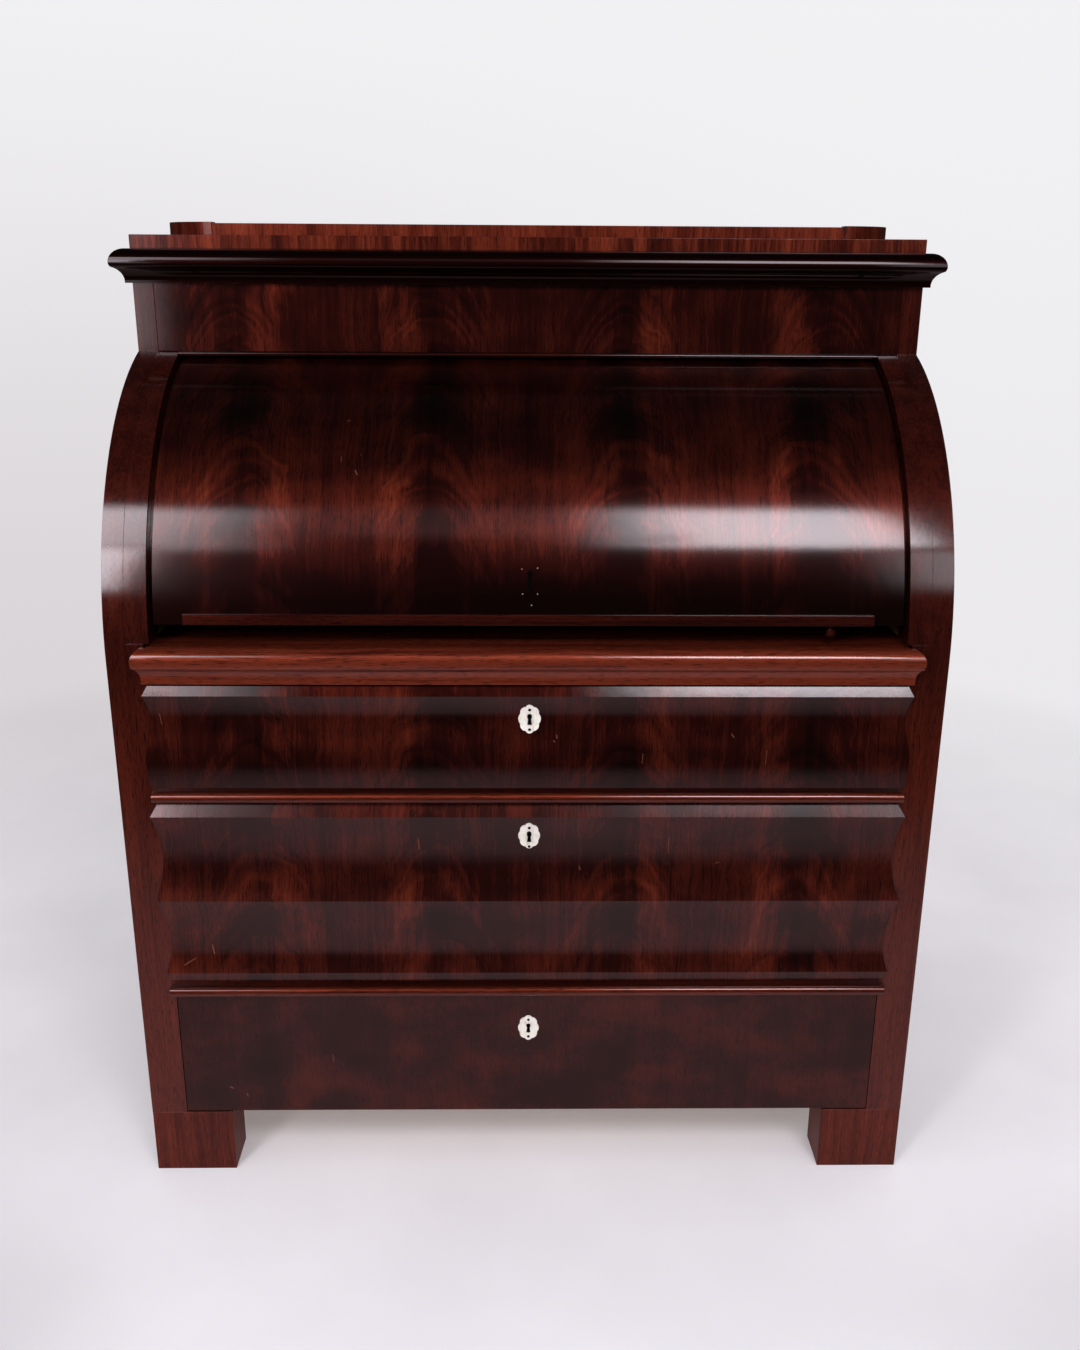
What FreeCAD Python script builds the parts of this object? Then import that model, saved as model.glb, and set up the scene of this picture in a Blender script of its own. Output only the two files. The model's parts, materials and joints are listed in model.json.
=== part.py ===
"""Cylinder desk: a case with three long drawers, a writing slide and a turning cylinder lid.

Millimetres, +Z up. The pieces are drawn in the case's own frame, with Y = 0 at the front plane of
the stiles and +Y towards the back, and are then moved so that the origin lies on the floor under
the middle of the desk.
"""
import FreeCAD, Part
import math
import os

V = FreeCAD.Vector

# Clearances
reveal = 2.5                  # around a drawer front, above and below
front_end_gap = 1.0           # drawer front to stile
running_clearance = 0.3       # a sliding piece above the surface that carries it
side_clearance = 0.5          # a sliding piece beside its guide
lap_clearance = 0.3           # moulded drawer front over the stiles
groove_clearance = 0.6        # cylinder tongue in its groove
swing_clearance = 1.2         # fixed pieces outside the cylinder's sweep
nest_clearance = 12.0         # nest inside the cylinder's sweep
rear_clearance = 5.0          # open cylinder in front of the back boards

# Case
case_half_width = 510.0
side_thickness = 26.0
stile_width = 21.0
stile_depth = 22.0
back_thickness = 14.0
back_board_count = 5
back_board_gap = 0.8
bottom_thickness = 18.0
top_thickness = 17.0
foot_height = 92.0
foot_width = 108.0
foot_depth = 63.0

# Drawer fronts and dividers, from the bottom up
front_thickness = 22.0
bottom_front_height = 180.0
lower_divider_thickness = 19.0
middle_front_height = 251.0
upper_divider_thickness = 17.0
top_front_height = 132.0
slide_rail_height = 31.0
slide_rail_depth = 40.0
divider_depth = 80.0
bead_thickness = 14.0
bead_projection = 14.0
bead_lap = 5.0                # bead over the stiles

# Profile of the top drawer's front: chamfer, hollow, bulge; projections start at the stiles
hollow_projection = 1.0       # hollows and upper edges of both moulded fronts
top_tip_projection = 7.0
top_chamfer_height = 11.6
top_hollow_drop = 44.5
top_bulge_projection = 8.5
top_bulge_share = 0.394       # bulge's height up the stretch below the hollow
top_foot_projection = 6.0

# Profile of the middle drawer's front: chamfer, hollow, arris, hollow, lip
middle_tip_projection = 10.0
middle_chamfer_height = 15.9
upper_hollow_drop = 74.5
arris_projection = 12.6
arris_drop = 131.5
lower_hollow_share = 0.406    # lower hollow's height up the stretch below the arris
lip_projection = 8.5
lip_rise = 13.3
lip_foot_projection = 5.0

# Drawer boxes
drawer_side_thickness = 10.0
drawer_back_thickness = 10.0
drawer_bottom_thickness = 7.0
drawer_bottom_rise = 6.0
bottom_groove_depth = 5.0
drawer_side_drop = 14.0       # sides below the front's top edge
drawer_rear_gap = 30.0
drawer_guide_thickness = 25.0
drawer_guide_height = 35.0
runner_width = 54.0

# Locks, keyholes and escutcheons
lock_half_width = 34.0
lock_above_key = 22.0
lock_below_key = 28.0
lock_thickness = 12.0
lock_plate = 2.0
key_well_radius = 6.0
key_pin_radius = 1.5
top_key_drop = 41.5
middle_key_drop = 43.1
bottom_key_drop = 50.5
escutcheon_half_width = 12.2
escutcheon_half_height = 17.0
escutcheon_thickness = 1.8
escutcheon_seat = 0.2         # glue line behind the plate
scallop_count = 8
scallop_depth = 1.6
keyhole_head_radius = 2.9
keyhole_foot_half_width = 2.3
keyhole_waist_half_width = 1.3
keyhole_head_rise = 3.6
keyhole_foot_drop = 6.4
keyhole_point = 1.5            # pointed end below the foot

# Writing slide
slide_thickness = 14.0
slide_side_gap = 1.0
slide_rear_gap = 20.0
bearer_width = 44.0
bearer_thickness = 20.0
nosing_projection = 15.6
nosing_fillet_projection = 6.5
nosing_tip_drop = 13.9
nosing_top_flat = 2.5
nosing_neck_projection = 14.2
nosing_neck_drop = 22.8
nosing_fillet_height = 7.0
nosing_lap = 14.8             # nosing tip over the stiles
nosing_drop = 44.7            # overall height

# Shoulder and cylinder
shoulder_radius = 367.0
axis_below_slide = 19.3
slide_headroom = 4.0          # slide below the foot of the curved guides
shell_recess = 8.0            # cylinder behind the curve of the sides
shell_thickness = 22.0
shell_side_gap = 5.0
shell_bottom_rise = 24.19     # middle of the closed cylinder's lower edge above the slide
shell_lap_angle = 5.6         # closed cylinder above the shoulder
opening_angle = 58.0
tongue_inset = 6.0            # tongue behind the shell's outer face
tongue_thickness = 12.0
tongue_reach = 9.0            # tongue into the guide
guide_width = 27.0
guide_thickness = 42.0
guide_overrun_angle = 3.0
lip_end_margin = 36.0         # lip inside the shell's end
lip_thickness = 6.0
lip_angle = 2.1
cylinder_key_angle = 14.6
cylinder_lock_inset = 4.0
cylinder_lock_thickness = 16.0
button_end_margin = 85.0      # button inside the shell's end
button_radius = 7.0
button_length = 16.0
knob_head_height = 10.0       # a turned knob's head and the chamfer round its end
knob_chamfer = 2.5
knob_neck_share = 0.55        # neck of a turned knob, in its radius

# Frieze, cornice and crown
frieze_setback = 250.0
frieze_thickness = 22.0
frieze_height = 85.0
frieze_bead_thickness = 5.2
frieze_bead_projection = 8.0
frieze_bead_tail = 5.0
cornice_height = 42.0
cornice_projection = 22.6
cornice_tip_drop = 17.1
cornice_crest_projection = 5.5
cornice_neck_projection = 20.5
cornice_neck_drop = 22.4
cornice_foot_projection = 7.5
cornice_foot_height = 2.0
crown_height = 15.0
crown_thickness = 22.0
crown_side_setback = 29.0
crown_front_setback = 33.0
crown_corner_radius = 70.0
crown_corner_rise = 1.5

# Nest
nest_depth = 246.0
nest_rear_gap = 29.9          # nest in front of the back boards
nest_side_gap = 7.0           # nest inside the curved guides
nest_board = 12.0
nest_back_thickness = 8.0
nest_partition = 8.0
nest_drawer_height = 78.0
niche_half_width = 145.0
nest_front_thickness = 10.0
nest_box_board = 6.0
nest_drawer_rear_gap = 20.0
nest_knob_radius = 8.0
nest_knob_length = 17.0

# Widths and levels that follow
inner_half = case_half_width - side_thickness
opening_half = inner_half - stile_width
front_half = opening_half - front_end_gap
guide_half = inner_half - guide_width
shell_half = guide_half - shell_side_gap
lip_half_length = shell_half - lip_end_margin
button_x = shell_half - button_end_margin
nest_half = guide_half - nest_side_gap

bottom_front_z = foot_height + reveal
lower_divider_z = bottom_front_z + bottom_front_height + reveal
middle_front_z = lower_divider_z + lower_divider_thickness + reveal
upper_divider_z = middle_front_z + middle_front_height + reveal
top_front_z = upper_divider_z + upper_divider_thickness + reveal
slide_rail_z = top_front_z + top_front_height + reveal
bearer_top_z = slide_rail_z + slide_rail_height
slide_bottom_z = bearer_top_z + running_clearance
slide_top_z = slide_bottom_z + slide_thickness
guide_foot_z = slide_top_z + slide_headroom

axis_y = shoulder_radius
axis_z = slide_top_z - axis_below_slide
shoulder_angle = math.degrees(math.acos(1 - frieze_setback / shoulder_radius))
shoulder_z = axis_z + shoulder_radius * math.sin(math.radians(shoulder_angle))
cornice_z = shoulder_z + frieze_height
top_z = cornice_z + cornice_height
crown_z = top_z + top_thickness

shell_outer = shoulder_radius - shell_recess
shell_inner = shell_outer - shell_thickness
tongue_outer = shell_outer - tongue_inset
tongue_inner = tongue_outer - tongue_thickness
tongue_middle = (tongue_inner + tongue_outer) / 2
shell_bottom_angle = math.degrees(math.asin((axis_below_slide + shell_bottom_rise) / tongue_middle))
shell_top_angle = shoulder_angle + shell_lap_angle
open_top_angle = shell_top_angle + opening_angle
swing_reach = -shell_outer * math.cos(math.radians(open_top_angle))

back_y = axis_y + swing_reach + rear_clearance
case_depth = back_y + back_thickness
drawer_back_y = back_y - drawer_rear_gap
slide_back_y = back_y - slide_rear_gap
box_half = inner_half - drawer_guide_thickness - side_clearance
slide_half = opening_half - slide_side_gap
nest_back_y = back_y - nest_rear_gap
nest_front_y = nest_back_y - nest_depth
nest_behind_axis = nest_back_y - axis_y
nest_sweep = shell_inner - nest_clearance
nest_top_z = axis_z + math.sqrt(nest_sweep ** 2 - nest_behind_axis ** 2)
nest_floor_z = guide_foot_z + nest_board
nest_shelf_z = nest_floor_z + nest_drawer_height

moulding_reach = max(top_tip_projection, top_bulge_projection, middle_tip_projection, arris_projection,
                     lip_projection)
front_reach = max(running_clearance + nosing_projection, lap_clearance + moulding_reach)
origin_y = (case_depth - front_reach) / 2


# Drawing helpers

def box(x0, x1, y0, y1, z0, z1):
    return Part.makeBox(x1 - x0, y1 - y0, z1 - z0, V(x0, y0, z0))


def mirrored(shape):
    return shape.mirror(V(0, 0, 0), V(1, 0, 0))


def pair(shape):
    return Part.makeCompound([shape, mirrored(shape)])


def joined(*shapes):
    result = shapes[0]
    for shape in shapes[1:]:
        result = result.fuse(shape)
    return result.removeSplitter()


def chain(*points):
    """Straight segments through the points."""
    return list(zip(points, points[1:]))


def loop(*points):
    return chain(*points, points[0])


def upright_arc(extreme, end):
    """Arc that is upright at its extreme point and runs to the end point."""
    run = end[0] - extreme[0]
    rise = end[1] - extreme[1]
    radius = (run ** 2 + rise ** 2) / (2 * run)
    side = math.copysign(1, radius)
    half_turn = math.atan2(rise, side * (radius - run)) / 2
    middle_across = extreme[0] + radius * (1 - math.cos(half_turn))
    middle_up = extreme[1] + abs(radius) * math.sin(half_turn)
    return (extreme, (middle_across, middle_up), end)


def backwards(segment):
    return tuple(reversed(segment))


def ogee(start, end):
    """Two equal arcs between two upright extremes, meeting halfway."""
    half = ((start[0] + end[0]) / 2, (start[1] + end[1]) / 2)
    return [upright_arc(start, half), backwards(upright_arc(end, half))]


def outline_face(segments, place):
    """Face inside a closed outline of straight segments (two points) and arcs (three points)."""
    edges = []
    for segment in segments:
        points = [place(*point) for point in segment]
        curve = Part.LineSegment(*points) if len(points) == 2 else Part.Arc(*points)
        edges.append(curve.toShape())
    return Part.Face(Part.Wire(edges))


def prism_x(segments, x0, x1):
    """Outline in (y, z), swept along X."""
    return outline_face(segments, lambda y, z: V(x0, y, z)).extrude(V(x1 - x0, 0, 0))


def prism_y(segments, y0, y1):
    """Outline in (x, z), swept along Y."""
    return outline_face(segments, lambda x, z: V(x, y0, z)).extrude(V(0, y1 - y0, 0))


def prism_z(segments, z0, z1):
    """Outline in (x, y), swept along Z."""
    return outline_face(segments, lambda x, y: V(x, y, z0)).extrude(V(0, 0, z1 - z0))


def on_cylinder(radius, angle):
    """Point (y, z) at a radius and an angle up from the front, about the cylinder's axis."""
    turn = math.radians(angle)
    return (axis_y - radius * math.cos(turn), axis_z + radius * math.sin(turn))


def sector(inner, outer, low, high):
    """Curved band about the cylinder's axis."""
    middle = (low + high) / 2
    outer_arc = tuple(on_cylinder(outer, angle) for angle in (low, middle, high))
    inner_arc = tuple(on_cylinder(inner, angle) for angle in (high, middle, low))
    return [outer_arc, (outer_arc[-1], inner_arc[0]), inner_arc, (inner_arc[-1], outer_arc[0])]


def turned_up(shape, angle):
    """Shape drawn at the axis's height in front of it, turned up to its angle."""
    result = shape.copy()
    result.rotate(V(0, axis_y, axis_z), V(-1, 0, 0), angle)
    return result


def cylinder_sweep(radius):
    """All that lies within a radius of the cylinder's axis."""
    return Part.makeCylinder(radius, 2 * inner_half, V(-inner_half, axis_y, axis_z), V(1, 0, 0))


# Case

def side_outline(top):
    shoulder = (frieze_setback, shoulder_z)
    middle = on_cylinder(shoulder_radius, shoulder_angle / 2)
    foot = (0, foot_height)
    arc_start = (0, axis_z)
    return (chain(foot, arc_start) + [(arc_start, middle, shoulder)]
            + chain(shoulder, (frieze_setback, top), (case_depth, top), (case_depth, foot_height), foot))


def side_panel():
    return prism_x(side_outline(top_z), inner_half, case_half_width)


def stile():
    blank = box(opening_half, inner_half, 0, stile_depth, foot_height, guide_foot_z)
    return blank.common(prism_x(side_outline(top_z), opening_half, inner_half))


def cylinder_guide():
    """Curved guide with the groove for the cylinder's tongue; its lower end is the closed stop."""
    end_angle = open_top_angle + guide_overrun_angle
    stop_angle = shell_bottom_angle - math.degrees(groove_clearance / tongue_inner)
    band = prism_x(sector(shoulder_radius - guide_thickness, shoulder_radius, 0, end_angle),
                   guide_half, inner_half)
    groove = prism_x(sector(tongue_inner - groove_clearance, tongue_outer + groove_clearance,
                            stop_angle, end_angle + guide_overrun_angle),
                     guide_half, shell_half + shell_side_gap + tongue_reach + groove_clearance)
    below = box(guide_half, inner_half, 0, axis_y, axis_z - reveal, guide_foot_z)
    behind = box(guide_half, inner_half, back_y, case_depth + shoulder_radius, axis_z, top_z)
    frieze_seat = box(guide_half, inner_half, frieze_setback, frieze_setback + frieze_thickness,
                      shoulder_z, top_z)
    return band.cut(groove).cut(below).cut(behind).cut(frieze_seat)


def back_boards():
    pitch = 2 * inner_half / back_board_count
    boards = []
    for number in range(back_board_count):
        left = -inner_half + number * pitch
        boards.append(box(left, left + pitch - back_board_gap, back_y, case_depth, foot_height, top_z))
    return Part.makeCompound(boards)


def foot(x0, y0):
    return box(x0, x0 + foot_width, y0, y0 + foot_depth, 0, foot_height)


def divider_rail(z0, thickness):
    return box(-opening_half, opening_half, 0, divider_depth, z0, z0 + thickness)


def divider_bead(z0):
    """Half-round bead along a divider's lower edge that laps over the stiles."""
    flat = bead_projection - bead_thickness / 2
    high = z0 + bead_thickness
    nose = ((-flat, high), (-bead_projection, z0 + bead_thickness / 2), (-flat, z0))
    outline = chain((-flat, z0), (0, z0), (0, high), (-flat, high)) + [nose]
    return prism_x(outline, -opening_half - bead_lap, opening_half + bead_lap)


def drawer_runners():
    runners = []
    for z0, thickness in ((lower_divider_z, lower_divider_thickness),
                          (upper_divider_z, upper_divider_thickness)):
        runner = box(inner_half - runner_width, inner_half, divider_depth, back_y, z0, z0 + thickness)
        runners += [runner, mirrored(runner)]
    return Part.makeCompound(runners)


def drawer_guides():
    guides = []
    start = max(stile_depth, front_thickness) + reveal
    for z0 in (foot_height + bottom_thickness, lower_divider_z + lower_divider_thickness,
               upper_divider_z + upper_divider_thickness):
        low = divider_depth if z0 > lower_divider_z else start
        guide = box(inner_half - drawer_guide_thickness, inner_half, low, back_y,
                    z0, z0 + drawer_guide_height)
        guides += [guide, mirrored(guide)]
    return Part.makeCompound(guides)


def slide_bearer():
    """Angle-shaped bearer: the slide rests on its ledge and runs along its upright."""
    ledge_x = inner_half - bearer_width
    ledge_z = bearer_top_z - bearer_thickness
    return prism_y(loop((ledge_x, ledge_z), (inner_half, ledge_z), (inner_half, slide_top_z),
                        (opening_half, slide_top_z), (opening_half, bearer_top_z),
                        (ledge_x, bearer_top_z)), slide_rail_depth, back_y)


# Frieze, cornice and crown

def frieze_board():
    board = box(-inner_half, inner_half, frieze_setback, frieze_setback + frieze_thickness,
                shoulder_z, top_z)
    return board.cut(cylinder_sweep(shell_outer + swing_clearance))


def frieze_bead():
    radius = frieze_bead_thickness / 2
    low = shoulder_z - frieze_bead_thickness
    nose_y = frieze_setback - frieze_bead_projection
    tail_y = frieze_setback + frieze_bead_tail
    nose = ((nose_y + radius, shoulder_z), (nose_y, low + radius), (nose_y + radius, low))
    outline = chain(nose[-1], (tail_y, low), (tail_y, shoulder_z), nose[0]) + [nose]
    bead = prism_x(outline, -guide_half, guide_half)
    return bead.cut(cylinder_sweep(shell_outer + swing_clearance))


def cornice_profile():
    """Hollow under a rounded nose and a sloping top, as (projection, z), from the foot up."""
    hollow = (cornice_foot_projection, cornice_z + cornice_foot_height)
    neck = (cornice_neck_projection, top_z - cornice_neck_drop)
    tip = (cornice_projection, top_z - cornice_tip_drop)
    crest = (cornice_crest_projection, top_z)
    return (chain((0, cornice_z), (cornice_foot_projection, cornice_z), hollow)
            + [upright_arc(hollow, neck), backwards(upright_arc(tip, neck)), upright_arc(tip, crest)]
            + chain(crest, (0, top_z)))


def returned_moulding(profile, half_length, front_y, rear_y):
    """Right half of a moulding that runs along a front and returns along the side."""
    low = profile[0][0][1]
    high = profile[-1][-1][1]
    reach = max(point[0] for segment in profile for point in segment)
    front = [tuple((front_y - p, z) for p, z in segment) for segment in profile]
    front += chain((front_y, high), (rear_y, high), (rear_y, low), (front_y, low))
    side = [tuple((half_length + p, z) for p, z in segment) for segment in profile]
    side += chain((half_length, high), (0, high), (0, low), (half_length, low))
    along_front = prism_x(front, 0, half_length + reach)
    along_side = prism_y(side, front_y - reach, rear_y)
    return along_front.common(along_side)


def cornice():
    """Front length and returns, mitred at the corners."""
    moulding = returned_moulding(cornice_profile(), case_half_width, frieze_setback, case_depth)
    core = box(0, case_half_width, frieze_setback, case_depth, cornice_z, top_z)
    moulding = moulding.cut(core)
    out = 2 * cornice_projection
    mitre = prism_z(loop((0, frieze_setback), (case_half_width, frieze_setback),
                         (case_half_width + out, frieze_setback - out), (0, frieze_setback - out)),
                    cornice_z, top_z)
    half_front = moulding.common(mitre)
    side_return = moulding.cut(mitre)
    return joined(half_front, mirrored(half_front)), pair(side_return)


def crown():
    """Low rim on the top: front strip, two quarter-round corner blocks, two side strips."""
    half = case_half_width - crown_side_setback
    front_y = frieze_setback + crown_front_setback
    corner_x = half - crown_corner_radius
    corner_y = front_y + crown_corner_radius
    high = crown_z + crown_height
    front = box(-corner_x, corner_x, front_y, front_y + crown_thickness, crown_z, high)
    side = box(half - crown_thickness, half, corner_y, case_depth, crown_z, high)
    inner = crown_corner_radius - crown_thickness
    diagonal = math.sqrt(0.5)
    outer_arc = ((corner_x, front_y),
                 (corner_x + crown_corner_radius * diagonal, corner_y - crown_corner_radius * diagonal),
                 (half, corner_y))
    inner_arc = ((corner_x + inner, corner_y),
                 (corner_x + inner * diagonal, corner_y - inner * diagonal),
                 (corner_x, corner_y - inner))
    block = prism_z([outer_arc, (outer_arc[-1], inner_arc[0]), inner_arc, (inner_arc[-1], outer_arc[0])],
                    crown_z, high + crown_corner_rise)
    return front, pair(block), pair(side)


# Keyholes, escutcheons and locks

def keyhole_prism(z, y0, y1):
    """Round head over a flared slot with a pointed foot."""
    head_z = z + keyhole_head_rise
    foot_z = z - keyhole_foot_drop
    head = Part.makeCylinder(keyhole_head_radius, y1 - y0, V(0, y0, head_z), V(0, 1, 0))
    slot = prism_y(loop((-keyhole_foot_half_width, foot_z), (0, foot_z - keyhole_point),
                        (keyhole_foot_half_width, foot_z), (keyhole_waist_half_width, head_z),
                        (-keyhole_waist_half_width, head_z)), y0, y1)
    return joined(head, slot)


def scalloped_oval(z):
    """Oval outline whose edge is a row of small lobes, the first at the top."""
    def rim(step, extra):
        turn = math.pi * step / scallop_count
        return ((escutcheon_half_width + extra) * math.sin(turn),
                z + (escutcheon_half_height + extra) * math.cos(turn))
    return [(rim(2 * lobe - 1, 0), rim(2 * lobe, scallop_depth), rim(2 * lobe + 1, 0))
            for lobe in range(scallop_count)]


def escutcheon(front_blank, z):
    """Bone plate that follows the surface of its drawer front."""
    outer = front_blank.copy()
    outer.translate(V(0, -escutcheon_seat - escutcheon_thickness, 0))
    inner = front_blank.copy()
    inner.translate(V(0, -escutcheon_seat, 0))
    y0 = -front_reach - escutcheon_seat - escutcheon_thickness
    plate = prism_y(scalloped_oval(z), y0, front_thickness).common(outer).cut(inner)
    return plate.cut(keyhole_prism(z, y0, front_thickness))


def lock_case(z, y0, y1):
    """Iron lock: a case with a well for the key and the pin that the key turns on."""
    case = box(-lock_half_width, lock_half_width, y0, y1, z - lock_below_key, z + lock_above_key)
    head_z = z + keyhole_head_rise
    depth = y1 - y0 - lock_plate
    well = Part.makeCylinder(key_well_radius, depth, V(0, y0, head_z), V(0, 1, 0))
    pin = Part.makeCylinder(key_pin_radius, depth, V(0, y0, head_z), V(0, 1, 0))
    return case.cut(well.cut(pin))


# Long drawers

def top_front_profile():
    """Chamfer, hollow and bulge as (projection, z), from the foot up."""
    top = top_front_z + top_front_height
    hollow = (hollow_projection, top - top_hollow_drop)
    tip = (top_tip_projection, top - top_chamfer_height)
    bulge = (top_bulge_projection, top_front_z + top_bulge_share * (hollow[1] - top_front_z))
    foot_edge = (top_foot_projection, top_front_z)
    return (chain((0, top_front_z), foot_edge) + [backwards(upright_arc(bulge, foot_edge))]
            + ogee(bulge, hollow) + [upright_arc(hollow, tip)]
            + chain(tip, (hollow_projection, top), (0, top)))


def middle_front_profile():
    """Chamfer, two hollows with an arris between them and a lip, from the foot up."""
    top = middle_front_z + middle_front_height
    upper_hollow = (hollow_projection, top - upper_hollow_drop)
    tip = (middle_tip_projection, top - middle_chamfer_height)
    arris = (arris_projection, top - arris_drop)
    lower_hollow = (hollow_projection, middle_front_z + lower_hollow_share * (arris[1] - middle_front_z))
    lip = (lip_projection, middle_front_z + lip_rise)
    return (chain((0, middle_front_z), (lip_foot_projection, middle_front_z), lip)
            + [backwards(upright_arc(lower_hollow, lip)), upright_arc(lower_hollow, arris),
               backwards(upright_arc(upper_hollow, arris)), upright_arc(upper_hollow, tip)]
            + chain(tip, (hollow_projection, top), (0, top)))


def moulded_front(profile):
    """Drawer front with a moulded face whose ends return over the stiles."""
    low = profile[0][0][1]
    high = profile[-1][-1][1]
    core = box(-front_half, front_half, -lap_clearance, front_thickness, low, high)
    half = returned_moulding(profile, front_half, -lap_clearance, 0)
    half = half.cut(box(0, case_half_width, -lap_clearance, 0, low, high))
    return joined(core, half, mirrored(half))


def flat_front():
    return box(-front_half, front_half, 0, front_thickness,
               bottom_front_z, bottom_front_z + bottom_front_height)


def long_drawer(blank, front_top_z, carrier_z, key_drop):
    """Front, sides, back, bottom, escutcheon and lock of one drawer."""
    key_z = front_top_z - key_drop
    lock = lock_case(key_z, front_thickness - lock_thickness, front_thickness)
    pocket = box(-lock_half_width, lock_half_width, front_thickness - lock_thickness, front_thickness,
                 key_z - lock_below_key, key_z + lock_above_key)
    front = blank.cut(pocket).cut(keyhole_prism(key_z, -front_reach, front_thickness))

    low = carrier_z + running_clearance
    high = front_top_z - drawer_side_drop
    inside = box_half - drawer_side_thickness
    panel_z = low + drawer_bottom_rise
    panel_top = panel_z + drawer_bottom_thickness
    panel = box(-inside - bottom_groove_depth, inside + bottom_groove_depth,
                front_thickness, drawer_back_y, panel_z, panel_top)
    side = box(inside, box_half, front_thickness, drawer_back_y, low, high).cut(panel)
    back = box(-inside, inside, drawer_back_y - drawer_back_thickness, drawer_back_y, panel_top, high)
    return {"front": front, "sides": pair(side), "back": back, "bottom": panel,
            "escutcheon": escutcheon(blank, key_z), "lock": lock}


# Writing slide

def slide_board():
    return box(-slide_half, slide_half, -running_clearance, slide_back_y, slide_bottom_z, slide_top_z)


def slide_nosing():
    """Thumb moulding over a hollow and a fillet, returned round both ends."""
    low = slide_top_z - nosing_drop
    fillet_top = (nosing_fillet_projection, low + nosing_fillet_height)
    neck = (nosing_neck_projection, slide_top_z - nosing_neck_drop)
    tip = (nosing_projection, slide_top_z - nosing_tip_drop)
    crest = (nosing_top_flat, slide_top_z)
    profile = (chain((0, low), (nosing_fillet_projection, low), fillet_top)
               + [upright_arc(fillet_top, neck), backwards(upright_arc(tip, neck)),
                  upright_arc(tip, crest)] + chain(crest, (0, slide_top_z)))
    end_half = opening_half + nosing_lap - nosing_projection
    half = returned_moulding(profile, end_half, -running_clearance, 0)
    half = half.cut(box(0, case_half_width, -running_clearance, 0, low, slide_top_z))
    return joined(half, mirrored(half))


# Cylinder

def cylinder_key(y0, y1):
    return turned_up(keyhole_prism(axis_z, y0, y1), cylinder_key_angle)


def cylinder_lock_blank():
    front_y = axis_y - shell_inner - cylinder_lock_inset
    return front_y, front_y + cylinder_lock_thickness


def cylinder_shell():
    """Curved lid; a rebate at each end leaves the tongue that runs in the guide."""
    shell = prism_x(sector(shell_inner, shell_outer, shell_bottom_angle, shell_top_angle),
                    -shell_half, shell_half)
    tongue_half = shell_half + shell_side_gap + tongue_reach
    tongue = prism_x(sector(tongue_inner, tongue_outer, shell_bottom_angle, shell_top_angle),
                     -tongue_half, tongue_half)
    y0, y1 = cylinder_lock_blank()
    pocket = box(-lock_half_width, lock_half_width, y0, y1,
                 axis_z - lock_below_key, axis_z + lock_above_key)
    shell = joined(shell, tongue).cut(turned_up(pocket, cylinder_key_angle))
    return shell.cut(cylinder_key(-shell_thickness, y1))


def cylinder_lip():
    return prism_x(sector(shell_outer, shell_outer + lip_thickness,
                          shell_bottom_angle, shell_bottom_angle + lip_angle),
                   -lip_half_length, lip_half_length)


def turned_knob(radius, length):
    """Turned knob on an upright axis, hanging from the origin: neck and chamfered head."""
    neck = knob_neck_share * radius
    neck_z = knob_head_height - length
    outline = loop((0, -length), (0, 0), (neck, 0), (neck, neck_z), (radius, neck_z),
                   (radius, knob_chamfer - length), (radius - knob_chamfer, -length))
    return outline_face(outline, lambda x, z: V(x, 0, z)).revolve(V(0, 0, 0), V(0, 0, 1), 360)


def cylinder_button():
    """Small turned button under the cylinder's lower edge."""
    knob = turned_knob(button_radius, button_length)
    knob.translate(V(button_x, axis_y - tongue_middle, axis_z))
    return turned_up(knob, shell_bottom_angle)


# Nest

def nest_frame():
    """Base between the side panels, with two ends and a top."""
    base = box(-inner_half, inner_half, nest_front_y, nest_back_y, guide_foot_z, nest_floor_z)
    end = box(nest_half - nest_board, nest_half, nest_front_y, nest_back_y,
              nest_floor_z, nest_top_z - nest_board)
    top = box(-nest_half, nest_half, nest_front_y, nest_back_y, nest_top_z - nest_board, nest_top_z)
    return Part.makeCompound([base, end, mirrored(end), top])


def nest_partitions():
    """Shelf, two uprights beside the niche below it and four uprights between the pigeonholes."""
    inside = nest_half - nest_board
    rear = nest_back_y - nest_back_thickness
    shelf = box(-inside, inside, nest_front_y, rear, nest_shelf_z, nest_shelf_z + nest_partition)
    low = box(niche_half_width, niche_half_width + nest_partition, nest_front_y, rear,
              nest_floor_z, nest_shelf_z)
    boards = [shelf, low, mirrored(low)]
    outer_x = (niche_half_width + nest_partition + inside - nest_partition) / 2
    for x0 in (niche_half_width, outer_x):
        upright = box(x0, x0 + nest_partition, nest_front_y, rear,
                      nest_shelf_z + nest_partition, nest_top_z - nest_board)
        boards += [upright, mirrored(upright)]
    return Part.makeCompound(boards)


def nest_back():
    inside = nest_half - nest_board
    return box(-inside, inside, nest_back_y - nest_back_thickness, nest_back_y,
               nest_floor_z, nest_top_z - nest_board)


def nest_drawer():
    """Right-hand small drawer: front, two sides, back and bottom."""
    x0 = niche_half_width + nest_partition + side_clearance
    x1 = nest_half - nest_board - side_clearance
    low = nest_floor_z + running_clearance
    high = nest_shelf_z - side_clearance
    rear = nest_back_y - nest_back_thickness - nest_drawer_rear_gap
    face = nest_front_y + nest_front_thickness
    board = nest_box_board
    front = box(x0, x1, nest_front_y, face, low, high)
    bottom = box(x0, x1, face, rear, low, low + board)
    left = box(x0, x0 + board, face, rear, low + board, high - board)
    right = box(x1 - board, x1, face, rear, low + board, high - board)
    back = box(x0 + board, x1 - board, rear - board, rear, low + board, high - board)
    return Part.makeCompound([front, bottom, left, right, back])


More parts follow.
